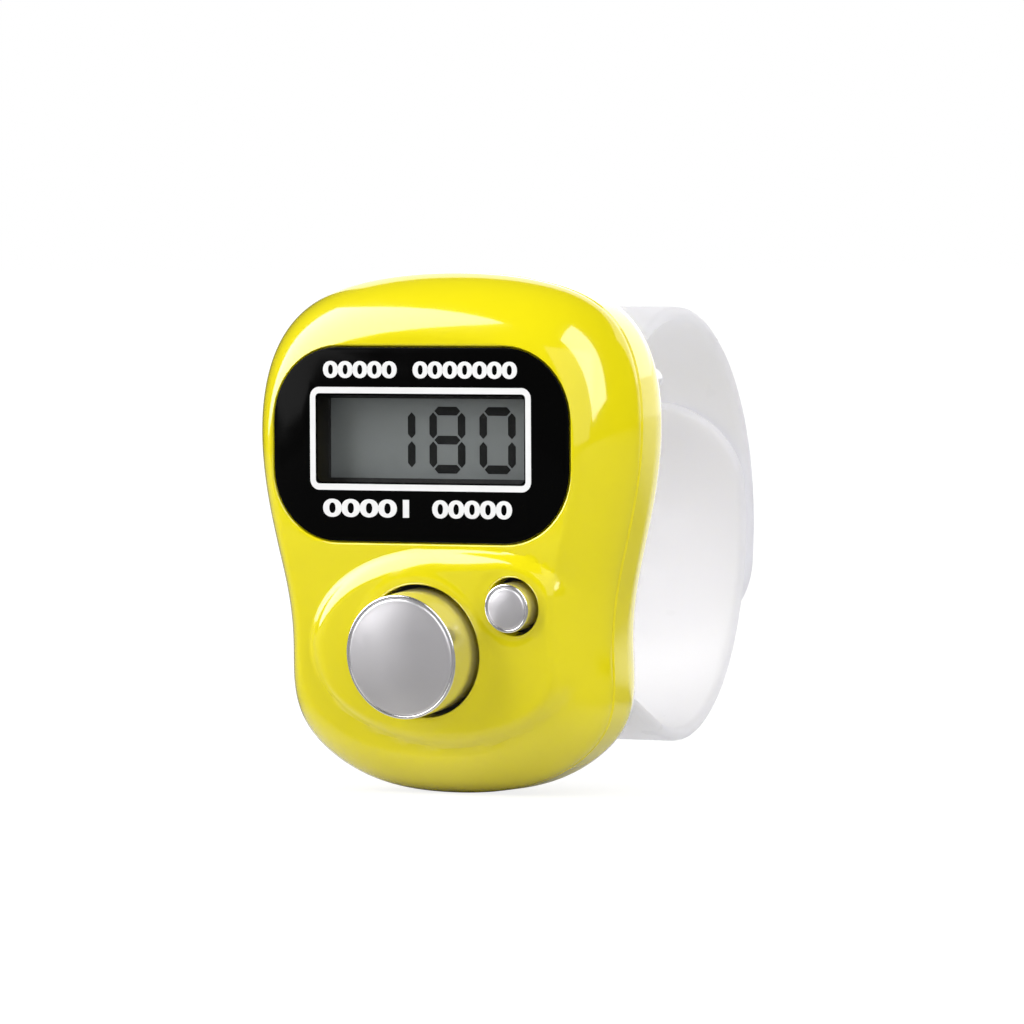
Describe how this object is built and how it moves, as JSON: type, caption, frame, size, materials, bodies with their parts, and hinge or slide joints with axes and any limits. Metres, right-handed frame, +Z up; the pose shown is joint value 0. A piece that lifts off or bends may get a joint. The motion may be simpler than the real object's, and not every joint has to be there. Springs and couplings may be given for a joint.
{
  "type": "digital finger counter",
  "caption": "Yellow ring-worn digital tally counter with a display, a large count button, a small reset button and an adjustable translucent finger strap.",
  "frame": {"origin": "middle of the finger's opening, on its axis", "axes": "+X along the finger to the viewer's right of the display, -Y out of the display's face, +Z up towards the display's end of the case"},
  "size_m": [0.0302, 0.042, 0.0372],
  "materials": {
    "yellow_plastic": "smooth moulded plastic",
    "clear_window": "clear polished",
    "black_print": "printed film",
    "dark_plastic": "matte",
    "display_grey": "polarizing film",
    "display_glass": "clear",
    "reflector_film": "matte reflector",
    "satin_chrome": "satin plated",
    "contact_steel": "plated",
    "board_green": "solder mask",
    "ceramic": "fired ceramic",
    "silicone": "matte",
    "carbon": "matte",
    "milky_strap": "translucent satin"
  },
  "bodies": {
    "case": {"front_shell": "yellow_plastic", "rear_shell": "yellow_plastic", "display_lens": "clear_window", "display_mask": "black_print", "lcd_holder": "dark_plastic", "lcd_front_polarizer": "display_grey", "lcd_front_glass": "display_glass", "lcd_rear_glass": "display_glass", "lcd_reflector": "reflector_film", "zebra_connector": "carbon", "circuit_board": "board_green", "chip_blob": "dark_plastic", "timing_capacitor": "ceramic", "supply_capacitor": "ceramic", "pull_resistor": "dark_plastic", "button_cell": "contact_steel", "battery_negative_plate": "contact_steel", "battery_positive_clip": "contact_steel", "count_dome": "silicone", "reset_dome": "silicone", "case_screw_1": "contact_steel", "case_screw_2": "contact_steel", "case_screw_3": "contact_steel", "case_screw_4": "contact_steel", "upper_strap_root": "milky_strap", "lower_strap_root": "milky_strap"},
    "count_key": {"count_button": "satin_chrome", "count_pill": "carbon"},
    "reset_key": {"reset_button": "satin_chrome", "reset_pill": "carbon"},
    "upper_tail": {"upper_strap_tail": "milky_strap"},
    "lower_tail": {"lower_strap_tail": "milky_strap"}
  },
  "joints": [
    {"name": "count_press", "type": "slide", "parent": "case", "child": "count_key", "axis": [0, 0.9945, 0.1045], "range_m": [0, 0.0008], "stiffness_N_per_m": 800, "deforming": ["count_dome"]},
    {"name": "reset_press", "type": "slide", "parent": "case", "child": "reset_key", "axis": [0, 0.9945, 0.1045], "range_m": [0, 0.0006], "stiffness_N_per_m": 800, "deforming": ["reset_dome"]},
    {"name": "upper_strap_open", "type": "hinge", "parent": "case", "child": "upper_tail", "pos_m": [0, 0.00252, 0.01545], "axis": [1, 0, 0], "range_deg": [0, 70], "stiffness_Nm_per_rad": 0.004},
    {"name": "lower_strap_bend", "type": "hinge", "parent": "case", "child": "lower_tail", "pos_m": [0, 0.00252, -0.01545], "axis": [1, 0, 0], "range_deg": [0, 35], "stiffness_Nm_per_rad": 0.004}
  ]
}
